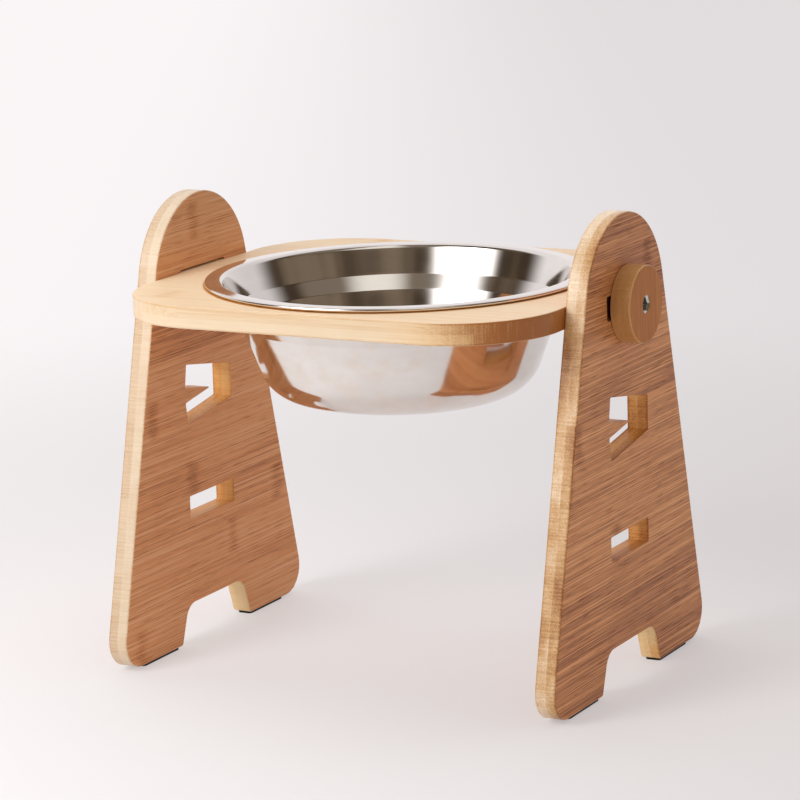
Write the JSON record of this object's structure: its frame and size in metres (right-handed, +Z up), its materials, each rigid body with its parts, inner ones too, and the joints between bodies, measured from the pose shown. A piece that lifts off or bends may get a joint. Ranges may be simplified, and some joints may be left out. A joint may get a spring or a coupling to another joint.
{
  "type": "raised dog bowl stand",
  "caption": "Raised bamboo feeding stand: a tray board with a lift-out steel bowl, held between slotted A-shaped side panels by clamping knobs.",
  "frame": {"origin": "on the floor, under the middle of the tray board", "axes": "+X from the left side panel to the right one, +Y from front to rear, +Z up"},
  "size_m": [0.298, 0.228, 0.257],
  "materials": {
    "panel_bamboo": "clear matt lacquer on carbonised bamboo",
    "tray_bamboo": "clear matt lacquer on pale bamboo",
    "knob_bamboo": "clear matt lacquer on bamboo",
    "bowl_steel": "mirror polished stainless steel",
    "insert_zinc": "bright zinc",
    "bolt_zinc": "zinc plated steel",
    "pad_rubber": "matt black rubber"
  },
  "bodies": {
    "stand": {"tray_board": "tray_bamboo", "left_side_panel": "panel_bamboo", "right_side_panel": "panel_bamboo", "left_hanger_bolt": "bolt_zinc", "right_hanger_bolt": "bolt_zinc", "left_front_foot_pad": "pad_rubber", "left_rear_foot_pad": "pad_rubber", "right_front_foot_pad": "pad_rubber", "right_rear_foot_pad": "pad_rubber"},
    "bowl": {"bowl": "bowl_steel"},
    "left_knob": {"left_knob": "knob_bamboo", "left_knob_insert": "insert_zinc"},
    "right_knob": {"right_knob": "knob_bamboo", "right_knob_insert": "insert_zinc"}
  },
  "joints": [
    {"name": "bowl_lift", "type": "slide", "parent": "stand", "child": "bowl", "axis": [0, 0, 1], "range_m": [0, 0.09]},
    {"name": "left_knob_turn", "type": "hinge", "parent": "stand", "child": "left_knob", "pos_m": [-0.137, 0, 0.20835], "axis": [-1, 0, 0], "continuous": true},
    {"name": "right_knob_turn", "type": "hinge", "parent": "stand", "child": "right_knob", "pos_m": [0.137, 0, 0.20835], "axis": [1, 0, 0], "continuous": true}
  ]
}
